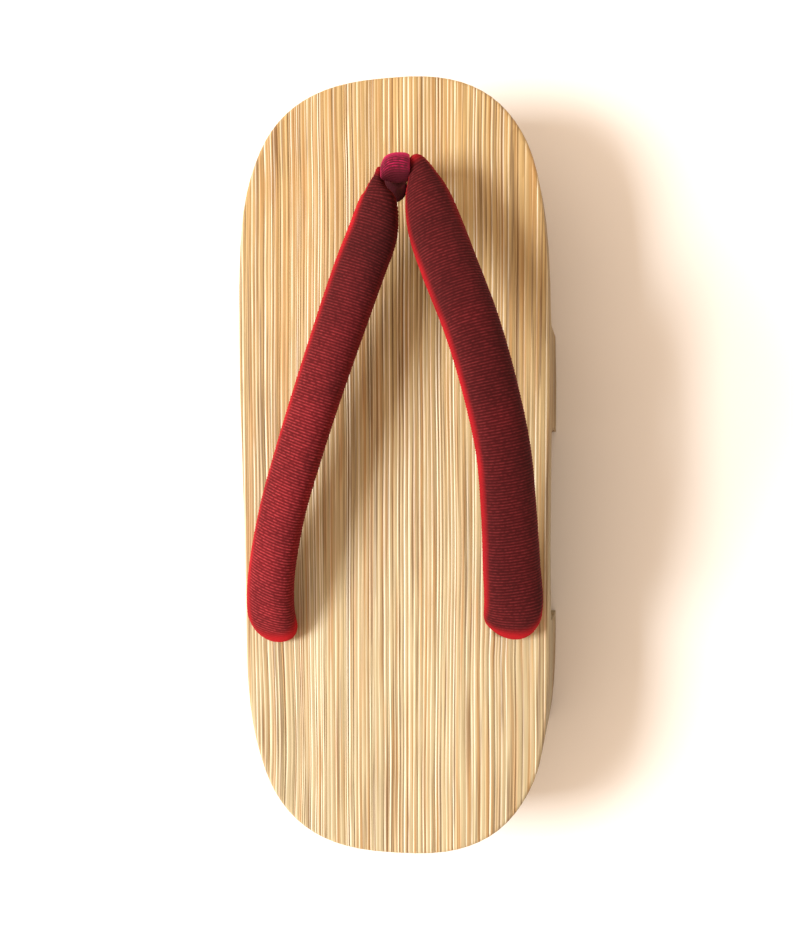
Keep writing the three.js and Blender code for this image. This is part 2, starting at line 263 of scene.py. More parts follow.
class GetaSoleSettings(bpy.types.PropertyGroup):
    """The cedar sole."""

    ring_pitch: FloatProperty(
        name="Ring pitch",
        description="Mean spacing of the growth rings across the board",
        default=1.05 * MM,
        min=0.8 * MM,
        max=4 * MM,
        unit="LENGTH",
    )
    groove_depth: FloatProperty(
        name="Groove depth",
        description="How deep the brush has worn the soft wood between the rings",
        default=0.26 * MM,
        min=0,
        max=1 * MM,
        unit="LENGTH",
    )
    seed: IntProperty(
        name="Tree", description="Which tree the board was cut from", default=11, min=0
    )
    straw: FloatVectorProperty(
        name="Early wood",
        description="Colour of the pale wood that grew in spring",
        size=3,
        subtype="COLOR",
        default=linear("#bc9e69"),
    )
    latewood: FloatVectorProperty(
        name="Late wood",
        description="Colour of the dark line that ends each ring",
        size=3,
        subtype="COLOR",
        default=linear("#5a3a1c"),
    )


class GetaStrapSettings(bpy.types.PropertyGroup):
    """The ribbed velvet strap."""

    rib_pitch: FloatProperty(
        name="Rib pitch",
        description="Spacing of the velvet's ribs along an arm",
        default=0.83 * MM,
        min=0.6 * MM,
        max=4 * MM,
        unit="LENGTH",
    )
    rib_height: FloatProperty(
        name="Rib height",
        description="How far a rib stands over the ground between ribs",
        default=0.14 * MM,
        min=0,
        max=1 * MM,
        unit="LENGTH",
    )
    ground: FloatVectorProperty(
        name="Ground",
        description="Colour between the ribs",
        size=3,
        subtype="COLOR",
        default=linear("#5a0810"),
    )
    # The crest colour is partly wear and partly a painted highlight.
    rib: FloatVectorProperty(
        name="Rib",
        description="Colour of the worn crest of a rib",
        size=3,
        subtype="COLOR",
        default=linear("#b43e44"),
    )
    # Along the edge towards the window this colour stands for painted sheen.
    pile: FloatVectorProperty(
        name="Pile",
        description="Colour of the unworn pile at the sides and ends",
        size=3,
        subtype="COLOR",
        default=linear("#a50d1a"),
    )


class GetaLoopSettings(bpy.types.PropertyGroup):
    """The toe loop."""

    rib_pitch: FloatProperty(
        name="Rib pitch",
        description="Spacing of the ribs round the toe loop",
        default=0.75 * MM,
        min=0.6 * MM,
        max=4 * MM,
        unit="LENGTH",
    )
    ground: FloatVectorProperty(
        name="Ground",
        description="Colour between the ribs",
        size=3,
        subtype="COLOR",
        default=linear("#4c0c1c"),
    )
    pile: FloatVectorProperty(
        name="Pile",
        description="Colour of the loop's pile",
        size=3,
        subtype="COLOR",
        default=linear("#b61b52"),
    )


class GetaCordSettings(bpy.types.PropertyGroup):
    """The knotted cords."""

    diameter: FloatProperty(
        name="Diameter",
        description="Diameter of the cord",
        default=2.7 * MM,
        min=1 * MM,
        max=5 * MM,
        unit="LENGTH",
    )
    strand_pitch: FloatProperty(
        name="Strand pitch",
        description="Distance from one strand to the next along the cord",
        default=7 * MM,
        min=3 * MM,
        max=20 * MM,
        unit="LENGTH",
    )
    colour: FloatVectorProperty(
        name="Cotton",
        description="Colour of the unbleached cotton",
        size=3,
        subtype="COLOR",
        default=linear("#e6dcc4"),
    )


class GetaStudioSettings(bpy.types.PropertyGroup):
    """Floor, light and camera."""

    key_power: FloatProperty(
        name="Key light",
        description="Power of the window light from the left, in watts",
        default=27,
        min=0,
    )
    key_size: FloatProperty(
        name="Light size",
        description="Width of the window light, which sets how soft the shadows are",
        default=0.55,
        min=0.02,
        unit="LENGTH",
    )
    room: FloatProperty(
        name="Room light",
        description="Strength of the warm light that the room sends back",
        default=1.1,
        min=0,
    )
    room_slope: FloatProperty(
        name="Room slope",
        description="How much brighter the room is on the window's side than overhead",
        default=0.65,
        min=0,
        max=1,
    )
    floor: FloatVectorProperty(
        name="Floor",
        description="Colour of the floor",
        size=3,
        subtype="COLOR",
        default=linear("#f4f2ef"),
    )


# Materials.


def add(tree, kind, inputs=None, **settings):
    """Adds a node, with its settings, and with the inputs given as numbers or as sockets to link."""
    made = tree.nodes.new(kind)
    for name, value in settings.items():
        setattr(made, name, value)
    for name, value in (inputs or {}).items():
        if isinstance(value, bpy.types.NodeSocket):
            tree.links.new(value, made.inputs[name])
        else:
            made.inputs[name].default_value = value
    return made


def new_material(name):
    """An empty material and its node tree."""
    material = bpy.data.materials.new(name)
    material.use_nodes = True
    material.node_tree.nodes.clear()
    return material, material.node_tree


def brushed_cedar(settings):
    """Straight-grained cedar, oiled by use and brushed along the grain: pale spring wood worn hollow
    between hard brown rings, so each ring reads as a thin dark line beside a bright one. The bright
    line is partly pale spring wood and partly a painted highlight on the slope facing the window."""
    material, tree = new_material("brushed_cedar")
    # The grain's own coordinates, in millimetres: across the rings, along them and up.
    grain = add(tree, "ShaderNodeAttribute", attribute_name="grain").outputs["Vector"]
    late = add(tree, "ShaderNodeAttribute", attribute_name="late").outputs["Fac"]
    pale = add(tree, "ShaderNodeAttribute", attribute_name="pale").outputs["Fac"]
    _, along, height = add(tree, "ShaderNodeSeparateXYZ", {0: grain}).outputs
    # Each pattern's spacing across the rings, along them and up, in millimetres.
    spacings = {
        "fibre": (0.32, 22.0, 4.0),
        "faint_ring": (0.8, 60.0, 30.0),
        "fade": (1.1, 26.0, 12.0),
        "tint": (1.1, 70.0, 40.0),
        "growth": (9.0, 160.0, 60.0),
        "handling": (28.0, 34.0, 30.0),
    }
    pattern = {}
    for name, spacing in spacings.items():
        placed = add(tree, "ShaderNodeMapping", {0: grain, "Scale": [1 / s for s in spacing]})
        pattern[name] = add(
            tree,
            "ShaderNodeTexNoise",
            {"Vector": placed.outputs[0], "Scale": 1.0, "Detail": 2.0, "Roughness": 0.55},
        ).outputs[0]
    # The heel half has paled with wear, the toe half keeps its warm tan.
    worn = add(
        tree,
        "ShaderNodeMapRange",
        {0: along, 1: -80.0, 2: 90.0, 3: 0.0, 4: 1.0},
        interpolation_type="SMOOTHSTEP",
    ).outputs[0]
    early = add(
        tree,
        "ShaderNodeMix",
        {0: worn, 6: (*linear("#bbac86"), 1), 7: (*settings.straw, 1)},
        data_type="RGBA",
    ).outputs[2]
    # Some rings are browner than others.
    tint = add(tree, "ShaderNodeMapRange", {0: pattern["tint"], 1: 0.46, 2: 0.64, 3: 0.0, 4: 0.7})
    body = add(
        tree,
        "ShaderNodeMix",
        {0: tint.outputs[0], 6: early, 7: (*linear("#ae8046"), 1)},
        data_type="RGBA",
    ).outputs[2]
    # A dark line comes and goes along its length, and fainter ones lie between.
    fade = add(tree, "ShaderNodeMapRange", {0: pattern["fade"], 1: 0.34, 2: 0.54, 3: 0.2, 4: 1.0})
    line = add(tree, "ShaderNodeMath", {0: late, 1: fade.outputs[0]}, operation="MULTIPLY")
    faint = add(
        tree, "ShaderNodeMapRange", {0: pattern["faint_ring"], 1: 0.54, 2: 0.64, 3: 0.0, 4: 0.6}
    )
    dark = add(
        tree, "ShaderNodeMath", {0: line.outputs[0], 1: faint.outputs[0]}, operation="MAXIMUM"
    )
    lined = add(
        tree,
        "ShaderNodeMix",
        {0: dark.outputs[0], 6: body, 7: (*settings.latewood, 1)},
        data_type="RGBA",
    ).outputs[2]
    # The pale line is partly the spring wood's own colour and partly a painted highlight where the slope
    # faces the window.
    lit = add(tree, "ShaderNodeMath", {0: pale, 1: fade.outputs[0]}, operation="MULTIPLY")
    creamy = add(
        tree,
        "ShaderNodeMix",
        {0: lit.outputs[0], 6: lined, 7: (*linear("#efe8d2"), 1)},
        data_type="RGBA",
    ).outputs[2]
    # Painted shade: the flanks and the teeth, below the eased edge, are painted a third darker than the
    # brushed top.
    tone = add(
        tree,
        "ShaderNodeMapRange",
        {0: height, 1: BOARD_TOP - ARRIS - 0.4, 2: BOARD_TOP - 0.4, 3: 0.66, 4: 1.0},
    ).outputs[0]
    for name, low, high in (("fibre", 0.82, 1.14), ("growth", 0.92, 1.08), ("handling", 0.96, 1.04)):
        change = add(tree, "ShaderNodeMapRange", {0: pattern[name], 1: 0.3, 2: 0.7, 3: low, 4: high})
        tone = add(
            tree, "ShaderNodeMath", {0: change.outputs[0], 1: tone}, operation="MULTIPLY"
        ).outputs[0]
    toned = add(tree, "ShaderNodeVectorMath", {0: creamy, "Scale": tone}, operation="SCALE")
    bump = add(
        tree, "ShaderNodeBump", {"Strength": 0.5, "Distance": 0.00012, "Height": pattern["fibre"]}
    )
    gloss = add(tree, "ShaderNodeMapRange", {0: late, 1: 0.0, 2: 1.0, 3: 0.55, 4: 0.75})
    shader = add(
        tree,
        "ShaderNodeBsdfPrincipled",
        {
            "Base Color": toned.outputs[0],
            "Roughness": gloss.outputs[0],
            "IOR": 1.45,
            "Normal": bump.outputs[0],
        },
    )
    add(tree, "ShaderNodeOutputMaterial", {0: shader.outputs[0]})
    return material


def ribbed_velvet(name, ground, rib, pile, tint):
    """Cotton velvet woven in cords: the crests are pale thin lines, partly wear and partly painted
    highlight, the ground between them is dark, and the standing pile at the sides and ends is the
    purest red; along the edge towards the window that red is painted sheen. The cloth's colour is
    also scaled by painted light and shade."""
    material, tree = new_material(name)
    coords = add(tree, "ShaderNodeTexCoord").outputs["Object"]
    crest = add(tree, "ShaderNodeAttribute", attribute_name="rib").outputs["Fac"]
    side = add(tree, "ShaderNodeAttribute", attribute_name="pile").outputs["Fac"]
    painted_light = add(tree, "ShaderNodeAttribute", attribute_name="painted_light").outputs["Fac"]
    # Tufts about 0.35 mm apart.
    tuft = add(tree, "ShaderNodeTexNoise", {"Vector": coords, "Scale": 2800.0, "Detail": 2.0})
    # Patches about 12 mm across, where the pile was pressed flat.
    patch = add(tree, "ShaderNodeTexNoise", {"Vector": coords, "Scale": 85.0, "Detail": 3.0})
    # The crests are worn in dashes about a millimetre long.
    dash = add(tree, "ShaderNodeTexNoise", {"Vector": coords, "Scale": 1100.0, "Detail": 2.0})
    wear = add(tree, "ShaderNodeMapRange", {0: dash.outputs[0], 1: 0.34, 2: 0.66, 3: 0.15, 4: 1.0})
    crests = add(tree, "ShaderNodeMath", {0: crest, 1: wear.outputs[0]}, operation="MULTIPLY")
    # The crests are painted pale, partly wear and partly a painted highlight.
    cloth = add(
        tree,
        "ShaderNodeMix",
        {0: crests.outputs[0], 6: (*ground, 1), 7: (*rib, 1)},
        data_type="RGBA",
    )
    # Painted light and shade: the cloth's colour is scaled by the share each point carries.
    painted_light_cloth = add(
        tree, "ShaderNodeVectorMath", {0: cloth.outputs[2], "Scale": painted_light}, operation="SCALE"
    )
    stood = add(
        tree,
        "ShaderNodeMix",
        {0: side, 6: painted_light_cloth.outputs[0], 7: (*pile, 1)},
        data_type="RGBA",
    )
    tone = add(tree, "ShaderNodeMapRange", {0: patch.outputs[0], 1: 0.3, 2: 0.7, 3: 0.78, 4: 1.15})
    toned = add(
        tree,
        "ShaderNodeVectorMath",
        {0: stood.outputs[2], "Scale": tone.outputs[0]},
        operation="SCALE",
    )
    bump = add(
        tree, "ShaderNodeBump", {"Strength": 0.6, "Distance": 0.0001, "Height": tuft.outputs[0]}
    )
    shader = add(
        tree,
        "ShaderNodeBsdfPrincipled",
        {
            "Base Color": toned.outputs[0],
            "Roughness": 0.9,
            "IOR": 1.5,
            "Specular IOR Level": 0.2,
            "Sheen Weight": 0.22,
            "Sheen Roughness": 0.35,
            "Sheen Tint": (*tint, 1),
            "Normal": bump.outputs[0],
        },
    )
    add(tree, "ShaderNodeOutputMaterial", {0: shader.outputs[0]})
    return material


def twisted_cotton(settings):
    """Unbleached cotton cord laid from three strands: matt and fuzzy, with painted shade between the
    strands.
    """
    material, tree = new_material("twisted_cotton_cord")
    coords = add(tree, "ShaderNodeTexCoord").outputs["Object"]
    strand = add(tree, "ShaderNodeAttribute", attribute_name="strand").outputs["Fac"]
    # Yarns about 0.4 mm thick.
    yarn = add(tree, "ShaderNodeTexNoise", {"Vector": coords, "Scale": 2500.0, "Detail": 3.0})
    # Painted shade in the valleys between the strands, broken up by the yarns.
    mixed = add(tree, "ShaderNodeMath", {0: strand, 1: yarn.outputs[0]}, operation="MULTIPLY")
    share = add(tree, "ShaderNodeMapRange", {0: mixed.outputs[0], 1: 0.05, 2: 0.5, 3: 0.0, 4: 1.0})
    colour = add(
        tree,
        "ShaderNodeMix",
        {0: share.outputs[0], 6: (*linear("#9c8862"), 1), 7: (*settings.colour, 1)},
        data_type="RGBA",
    )
    bump = add(
        tree, "ShaderNodeBump", {"Strength": 0.6, "Distance": 0.00012, "Height": yarn.outputs[0]}
    )
    shader = add(
        tree,
        "ShaderNodeBsdfPrincipled",
        {
            "Base Color": colour.outputs[2],
            "Roughness": 0.9,
            "IOR": 1.5,
            "Specular IOR Level": 0.3,
            "Sheen Weight": 0.2,
            "Sheen Roughness": 0.5,
            "Normal": bump.outputs[0],
        },
    )
    add(tree, "ShaderNodeOutputMaterial", {0: shader.outputs[0]})
    return material


def matt_paper(settings):
    """Seamless background paper: a plain pale sheet with no gloss."""
    material, tree = new_material("matt_background_paper")
    shader = add(
        tree,
        "ShaderNodeBsdfPrincipled",
        {"Base Color": (*settings.floor, 1), "Roughness": 0.95, "Specular IOR Level": 0.1},
    )
    add(tree, "ShaderNodeOutputMaterial", {0: shader.outputs[0]})
    return material


# Shapes.


def finish_piece(bm, name, material, nodes):
    """Writes the mesh in metres as one smooth object that rides the root body for its CAD nodes."""
    bmesh.ops.transform(bm, matrix=Matrix.Scale(MM, 4), verts=bm.verts)
    mesh = bpy.data.meshes.new(name)
    bm.to_mesh(mesh)
    bm.free()
    mesh.polygons.foreach_set("use_smooth", [True] * len(mesh.polygons))
    mesh.set_sharp_from_angle(angle=math.radians(SHARP_ANGLE))
    mesh.materials.append(material)
    piece = bpy.data.objects.new(name, mesh)
    bpy.context.scene.collection.objects.link(piece)
    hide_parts(*nodes)
    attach(piece, "root")
    return piece


def oval(unit, power):
    """One coordinate of a unit superellipse."""
    return math.copysign(abs(unit) ** (2 / power), unit)


def smooth_share(value, low, high):
    """How far a value is from low to high, eased at both ends."""
    share = min(max((value - low) / (high - low), 0), 1)
    return share * share * (3 - 2 * share)


def roughen(v, axis):
    """Moves a point of the velvet's skin a little, up or down and along one axis of the board."""
    v.co.z += FUZZ * noise.noise(v.co * FUZZ_SCALE)
    v.co[axis] += FUZZ * noise.noise(v.co * FUZZ_SCALE + Vector((9, 0, 0)))


def rolled_grid(bm, rows, sides):
    """A sheet of quads, given back as (vertex, row, side) so that it can be rolled into a tube."""
    made = bmesh.ops.create_grid(bm, x_segments=rows, y_segments=sides, size=0.5)
    return [
        (v, round((v.co.x + 0.5) * rows), round((v.co.y + 0.5) * sides)) for v in made["verts"]
    ]


class Route:
    """A centripetal Catmull-Rom curve through a table's rows, read by distance along it."""

    STEPS = 60

    def __init__(self, rows):
        rows = [[float(v) for v in row] for row in rows]
        first = [2 * a - b for a, b in zip(rows[0][:3], rows[1][:3])] + rows[0][3:]
        last = [2 * a - b for a, b in zip(rows[-1][:3], rows[-2][:3])] + rows[-1][3:]
        path = [first, *rows, last]
        self.samples = []
        for i in range(1, len(path) - 2):
            for step in range(self.STEPS):
                self.samples.append(self._between(path[i - 1 : i + 3], step / self.STEPS))
        self.samples.append(rows[-1])
        self.lengths = [0.0]
        for a, b in zip(self.samples, self.samples[1:]):
            self.lengths.append(self.lengths[-1] + math.dist(a[:3], b[:3]))
        self.length = self.lengths[-1]

    @staticmethod
    def _between(four, share):
        """A point of the stretch between the middle two of four rows."""
        knots = [0.0]
        for a, b in zip(four, four[1:]):
            knots.append(knots[-1] + max(math.dist(a[:3], b[:3]), 1e-4) ** 0.5)
        t = knots[1] + share * (knots[2] - knots[1])

        def mixed(a, b, low, high):
            part = (t - knots[low]) / (knots[high] - knots[low])
            return [x + (y - x) * part for x, y in zip(a, b)]

        first, middle, last = (mixed(four[i], four[i + 1], i, i + 1) for i in range(3))
        return mixed(mixed(first, middle, 0, 2), mixed(middle, last, 1, 3), 1, 2)

    def at(self, distance):
        """Middle, tangent and the table's other columns at a distance."""
        distance = min(max(distance, 0.0), self.length)
        i = min(bisect_right(self.lengths, distance) - 1, len(self.samples) - 2)
        a, b = self.samples[i], self.samples[i + 1]
        step = self.lengths[i + 1] - self.lengths[i]
        share = (distance - self.lengths[i]) / step if step else 0.0
        row = [x + (y - x) * share for x, y in zip(a, b)]
        back, ahead = self.samples[max(i - 2, 0)], self.samples[min(i + 3, len(self.samples) - 1)]
        tangent = (Vector(ahead[:3]) - Vector(back[:3])).normalized()
        row[2] += BOARD_TOP
        return Vector(row[:3]), tangent, row[3:]


def growth_rings(settings):
    """The rings from left to right: where each crosses the middle of the board in millimetres, how
    deep the spring wood beside its dark line is worn, how dark that line is, and how pale the wood
    beside the line is painted, partly its own colour and partly a painted highlight."""
    tree = random.Random(settings.seed)
    pitch = settings.ring_pitch / MM
    depth = settings.groove_depth / MM
    rings = []
    x = -HALF_WIDTH - RING_MARGIN
    while x < HALF_WIDTH + RING_MARGIN:
        scatter = tree.uniform(1 - RING_SCATTER, 1 + RING_SCATTER)
        x += pitch * scatter * (1 + RIGHT_RING_SPREAD * smooth_share(x, 12, 45))
        # Few rings are strong, and a strong one is both deep and dark.
        strong = tree.random() ** 2
        rings.append((x, depth * (0.35 + 0.65 * strong), 0.25 + 0.75 * strong, tree.random()))
    return rings


def relief_columns(rings):
    """The board's section across the grain, ring by ring: (place, depth below the top, darkness,
    paleness, which is partly a painted highlight on the slope that rises towards the window)."""
    columns = []
    for (x, depth, dark, pale), (after, *_) in zip(rings, rings[1:]):
        line = min(0.12 + 0.12 * dark, 0.2 * (after - x))
        columns += [
            (x - line, 0.25 * depth, 0.1 * dark, 0.0),
            (x, depth, dark, 0.0),
            (x + line, 0.5 * depth, 0.25 * dark, 0.6 * pale),
            (x + 2 * line, 0.0, 0.0, pale),
            (x + 3.1 * line, 0.05 * depth, 0.0, 0.1 * pale),
        ]
    return columns


def board(settings):
    """The carved block with its top brushed: cut along the grain and across it, with the spring wood
    between the cuts sunk, and the grain lines let wander a little."""
    bm = bmesh.new()
    bm.from_mesh(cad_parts["wooden_sole"].data)
    bmesh.ops.transform(bm, matrix=Matrix.Scale(1 / MM, 4), verts=bm.verts)
    bmesh.ops.remove_doubles(bm, verts=bm.verts, dist=1e-3)
    bmesh.ops.dissolve_limit(
        bm, angle_limit=math.radians(0.3), verts=bm.verts, edges=bm.edges, delimit=set()
    )
    columns = relief_columns(growth_rings(settings))
    cuts = [((place, 0, 0), (1, -LEAN - LEAN_SPREAD * place, 0)) for place, *_ in columns]
    for row in range(1, BOARD_ROWS):
        cuts.append(((0, (2 * row / BOARD_ROWS - 1) * HALF_LENGTH, 0), (0, 1, 0)))
    low = BOARD_TOP - ARRIS - 0.01
    faces = [f for f in bm.faces if all(v.co.z > low for v in f.verts)]
    edges = dict.fromkeys(e for f in faces for e in f.edges)
    verts = dict.fromkeys(v for f in faces for v in f.verts)
    geom = [*verts, *edges, *faces]
    for place, normal in cuts:
        cut = bmesh.ops.bisect_plane(bm, geom=geom, dist=1e-4, plane_co=place, plane_no=normal)
        geom = cut["geom"]
    places = [c[0] for c in columns]
    grain = bm.verts.layers.float_vector.new("grain")
    late = bm.verts.layers.float.new("late")
    pale = bm.verts.layers.float.new("pale")
    for v in bm.verts:
        x, y, z = v.co
        place = (x - LEAN * y) / (1 + LEAN_SPREAD * y)
        v[grain] = (place + RING_TILT * (BOARD_TOP - z), y, z)
        top = min(max((z - low) / ARRIS, 0), 1)
        if not top:
            continue
        i = min(max(bisect_right(places, place) - 1, 0), len(columns) - 2)
        (first, *before), (last, *beyond) = columns[i], columns[i + 1]
        share = min(max((place - first) / (last - first), 0), 1)
        depth, dark, light = (a + (b - a) * share for a, b in zip(before, beyond))
        v[late] = dark * top
        # Paleness: partly the wood's own colour, partly a painted highlight.
        v[pale] = light * top
        # A groove's depth changes every 30 mm or so along it, and a line's place every 50 mm.
        waver = noise.noise((place * 0.4, y * 0.03, 0))
        v.co.z = z - depth * top * (1 + GROOVE_WAVER * waver)
        # The flanks, the ends and the holes keep their shape, so no line wanders there.
        free = smooth_share(HALF_WIDTH - abs(x), 1.2, 7)
        free *= smooth_share(HALF_LENGTH - abs(y), 2, 30)
        for hole_x, hole_y in HOLES:
            free *= smooth_share(math.hypot(x - hole_x, y - hole_y), HOLE_RADIUS, 12)
        v.co.x = x + LINE_WANDER * free * noise.noise((x * 0.05, y * 0.018, 5))
    return bm


def tube(bm, route, stops, sides, side=0, power=2.0, radii=(0.8, 0.8), sunk=None):
    """Rolls a sheet into an oval tube along a route, with a ring of points at each stop, and rounds
    and closes its ends. What sunk gives is taken off the surface. Gives back each point with its
    stop, and its place across and over the section from -1 to 1."""
    up = Vector((0, 0, 1)) if side else Vector((0, 1, 0))
    rings = []
    for distance in stops:
        middle, tangent, (wide, thick, droop, slant, *_) = route.at(distance)
        scale = 1.0
        for radius, left in zip(radii, (distance, route.length - distance)):
            scale *= math.sqrt(max(1 - max(1 - left / radius, 0) ** 2, 0))
        thick_way = (up - up.dot(tangent) * tangent).normalized()
        turn = Quaternion(tangent, math.radians(side * droop))
        # A slanted ring leans along the route, so the ribs cross the arm askew.
        wide_way = turn @ thick_way.cross(tangent) + tangent * math.tan(math.radians(slant)) * scale
        rings.append((middle, wide_way, turn @ thick_way, wide / 2 * scale, thick / 2 * scale, scale))
    points = []
    for v, stop, column in rolled_grid(bm, len(stops) - 1, sides):
        middle, wide_way, thick_way, half_wide, half_thick, scale = rings[stop]
        angle = 2 * math.pi * column / sides
        across, over = math.cos(angle), math.sin(angle)
        off = sunk(stop, across, over) * scale if sunk else 0.0
        v.co = middle + wide_way * ((half_wide - off) * oval(across, power))
        v.co += thick_way * ((half_thick - off) * oval(over, power))
        points.append((v, stop, across, over))
    return points


def eased_stops(length, steps):
    """Stops along a length that crowd towards both ends."""
    return [length * (1 - math.cos(math.pi * i / steps)) / 2 for i in range(steps + 1)]


def rib_stops(route, pitch):
    """Stops along an arm, a few to each rib, with the ribs spread as the arm's table says."""
    stops = [0.0]
    while stops[-1] < route.length:
        spread = route.at(stops[-1])[2][-1]
        stops.append(stops[-1] + pitch * spread / ROWS_PER_RIB)
    return [stop * route.length / stops[-1] for stop in stops]


def velvet_arm(bm, rows, side, sheen_rim, painted_light, settings):
    """One stuffed arm: ribs woven across it, a seam pressed into its underside, bright pile along the
    edge that the ribs leave bare, which is painted sheen on the window's side, and at both ends,
    painted light and shade along it, and a fuzzy skin."""
    rib_layer = bm.verts.layers.float["rib"]
    pile_layer = bm.verts.layers.float["pile"]
    painted_light_layer = bm.verts.layers.float["painted_light"]
    route = Route(rows)
    stops = rib_stops(route, settings.rib_pitch / MM)
    steps = len(stops) - 1
    crests = [0.5 + 0.5 * math.cos(2 * math.pi * i / ROWS_PER_RIB) for i in range(steps + 1)]
    height = settings.rib_height / MM

    def sunk(stop, across, over):
        seam = SEAM_DEPTH * max(1 - abs(across) / SEAM_WIDTH, 0) if over < 0 else 0.0
        return height * (1 - crests[stop]) + seam

    radii = (TOE_END_RADIUS, REAR_END_RADIUS)
    points = tube(bm, route, stops, ARM_SIDES, side, ARM_OVAL_POWER, radii, sunk)
    for v, stop, across, over in points:
        left = route.length - stops[stop]
        low = smooth_share(BOARD_TOP + REAR_PILE_HEIGHT - v.co.z, 0, PILE_FADE["height"])
        toe_end = 1 - smooth_share(stops[stop], *TOE_PILE) if side < 0 else 0.0
        pile = max(
            BARE["painted_sheen_left_edge"] * smooth_share(-across, sheen_rim, sheen_rim + SHEEN_RIM_FADE),
            BARE["right_edge"] * smooth_share(across, 0.95, 1.0),
            BARE["toe_edge"] * smooth_share(across, 0.7, 1.0) * toe_end,
            BARE["rear_end"] * low * smooth_share(REAR_PILE - left, 0, PILE_FADE["rear_end"]),
            BARE["tip"] * smooth_share(TOE_TIP_PILE - stops[stop], 0, PILE_FADE["tip"]),
        )
        # Painted light and shade along the arm and on its flank away from the window; crests follow it.
        light = painted_light[0] + (painted_light[1] - painted_light[0]) * smooth_share(stops[stop], *PAINTED_LIGHT_TURN)
        v[pile_layer] = pile
        v[painted_light_layer] = light * (1 - FLANK_PAINTED_SHADE * smooth_share(across, 0, 0.9))
        v[rib_layer] = crests[stop] ** 3 * (1 - pile) * (0.55 + 0.45 * light)
        roughen(v, axis=0)
    bmesh.ops.remove_doubles(bm, verts=[p[0] for p in points if p[1] in (0, steps)], dist=0.1)
    bmesh.ops.remove_doubles(bm, verts=[p[0] for p in points if p[0].is_valid], dist=1e-4)


def velvet_strap(settings):
    """Two stuffed arms of ribbed velvet, the neck that joins them and the stems in the rear holes."""
    bm = bmesh.new()
    for layer in ("rib", "pile", "painted_light"):
        bm.verts.layers.float.new(layer)
    velvet_arm(bm, LEFT_ARM, 1, LEFT_ARM_SHEEN_RIM, LEFT_PAINTED_LIGHT, settings)
    velvet_arm(bm, RIGHT_ARM, -1, RIGHT_ARM_SHEEN_RIM, RIGHT_PAINTED_LIGHT, settings)
    # The arms end just over the board, and only their stems go down into it.
    cut = bmesh.ops.bisect_plane(
        bm,
        geom=[*bm.verts, *bm.edges, *bm.faces],
        plane_co=(0, 0, BOARD_TOP + GAP),
        plane_no=(0, 0, 1),
        clear_inner=True,
    )
    opened = [e for e in cut["geom_cut"] if isinstance(e, bmesh.types.BMEdge)]
    bmesh.ops.edgeloop_fill(bm, edges=opened)
    route = Route(NECK)
    points = tube(bm, route, eased_stops(route.length, steps=8), sides=20, side=1)
    for x, y in HOLES[1:]:
        wide = 2 * REAR_STEM_RADIUS
        stem = Route([(x, y, rise, wide, wide, 0, 0) for rise in (2, -6, -BOARD_THICKNESS)])
        points += tube(bm, stem, eased_stops(stem.length, steps=10), sides=24)
    # The neck and the rear stems are painted dark, as painted shade.
    for v, *_ in points:
        v[bm.verts.layers.float["painted_light"]] = LEFT_PAINTED_LIGHT[0]
    bmesh.ops.remove_doubles(bm, verts=[p[0] for p in points], dist=1e-4)
    bmesh.ops.recalc_face_normals(bm, faces=bm.faces)
    return bm


def toe_loop(settings):
    """The band over the strap's neck, ribbed round its length and sagging over the left arm, and the
    plain stem that it gathers into."""
    bm = bmesh.new()
    rib_layer, pile_layer, painted_light_layer = (bm.verts.layers.float.new(n) for n in ("rib", "pile", "painted_light"))
    around = 2 * math.pi * math.hypot(BAND["half_length"], BAND["half_height"]) / math.sqrt(2)
    ribs = round(around / (settings.rib_pitch / MM))
    rows = ribs * BAND_ROWS_PER_RIB
    grid = rolled_grid(bm, rows, BAND_SIDES)
    for v, row, column in grid:
        turn = 2 * math.pi * row / rows
        forward, upward = math.cos(turn), math.sin(turn)
        angle = 2 * math.pi * column / BAND_SIDES
        wave = 0.5 + 0.5 * math.cos(2 * math.pi * row * ribs / rows)
        outer = max(math.cos(angle), 0)
        proud = BAND_HALF_THICKNESS * oval(math.cos(angle), BAND_OVAL_POWER)
        proud -= BAND_RIB_HEIGHT * (1 - wave) * outer
        rise = (BAND["half_height"] + proud) * upward
        share = min(max(0.5 + rise / (2 * BAND["half_height"]), 0), 1)
        half_width = BAND_FOOT_HALF_WIDTH + (BAND_HALF_WIDTH - BAND_FOOT_HALF_WIDTH) * share
        across = half_width * oval(math.sin(angle), BAND_OVAL_POWER)
        high = max(upward, 0)
        sag = BAND_SAG * min(across, 0) ** 2 * high
        bow = BAND_BOW * across**2 * high
        v.co = (
            BAND["x"] + across,
            BAND["y"] + (BAND["half_length"] + proud) * forward - bow - sag,
            BOARD_TOP + BAND["rise"] + rise - sag,
        )
        roughen(v, axis=1)
        edge = smooth_share(abs(math.sin(angle)), 0.8, 1)
        # Painted shade: the band's back, in the hollow between the arms, keeps only the dark ground.
        painted_lit_share = smooth_share(forward, -0.8, -0.2)
        v[pile_layer] = min(edge * 0.6 + smooth_share(forward, 0.35, 0.9), 1) * painted_lit_share
        v[rib_layer] = wave * wave * outer * (1 - edge) * painted_lit_share
    stem = Route(TOE_STEM)
    points = tube(bm, stem, eased_stops(stem.length, steps=40), sides=32)
    # The band keeps its colour and the stem is painted darker, as painted shade.
    for tube_points, painted_light in ((grid, 1.0), (points, STEM_PAINTED_SHADE)):
        for v, *_ in tube_points:
            v[painted_light_layer] = painted_light
    bmesh.ops.remove_doubles(bm, verts=[v for v, *_ in (*grid, *points)], dist=1e-4)
    bmesh.ops.recalc_face_normals(bm, faces=bm.faces)
    return bm


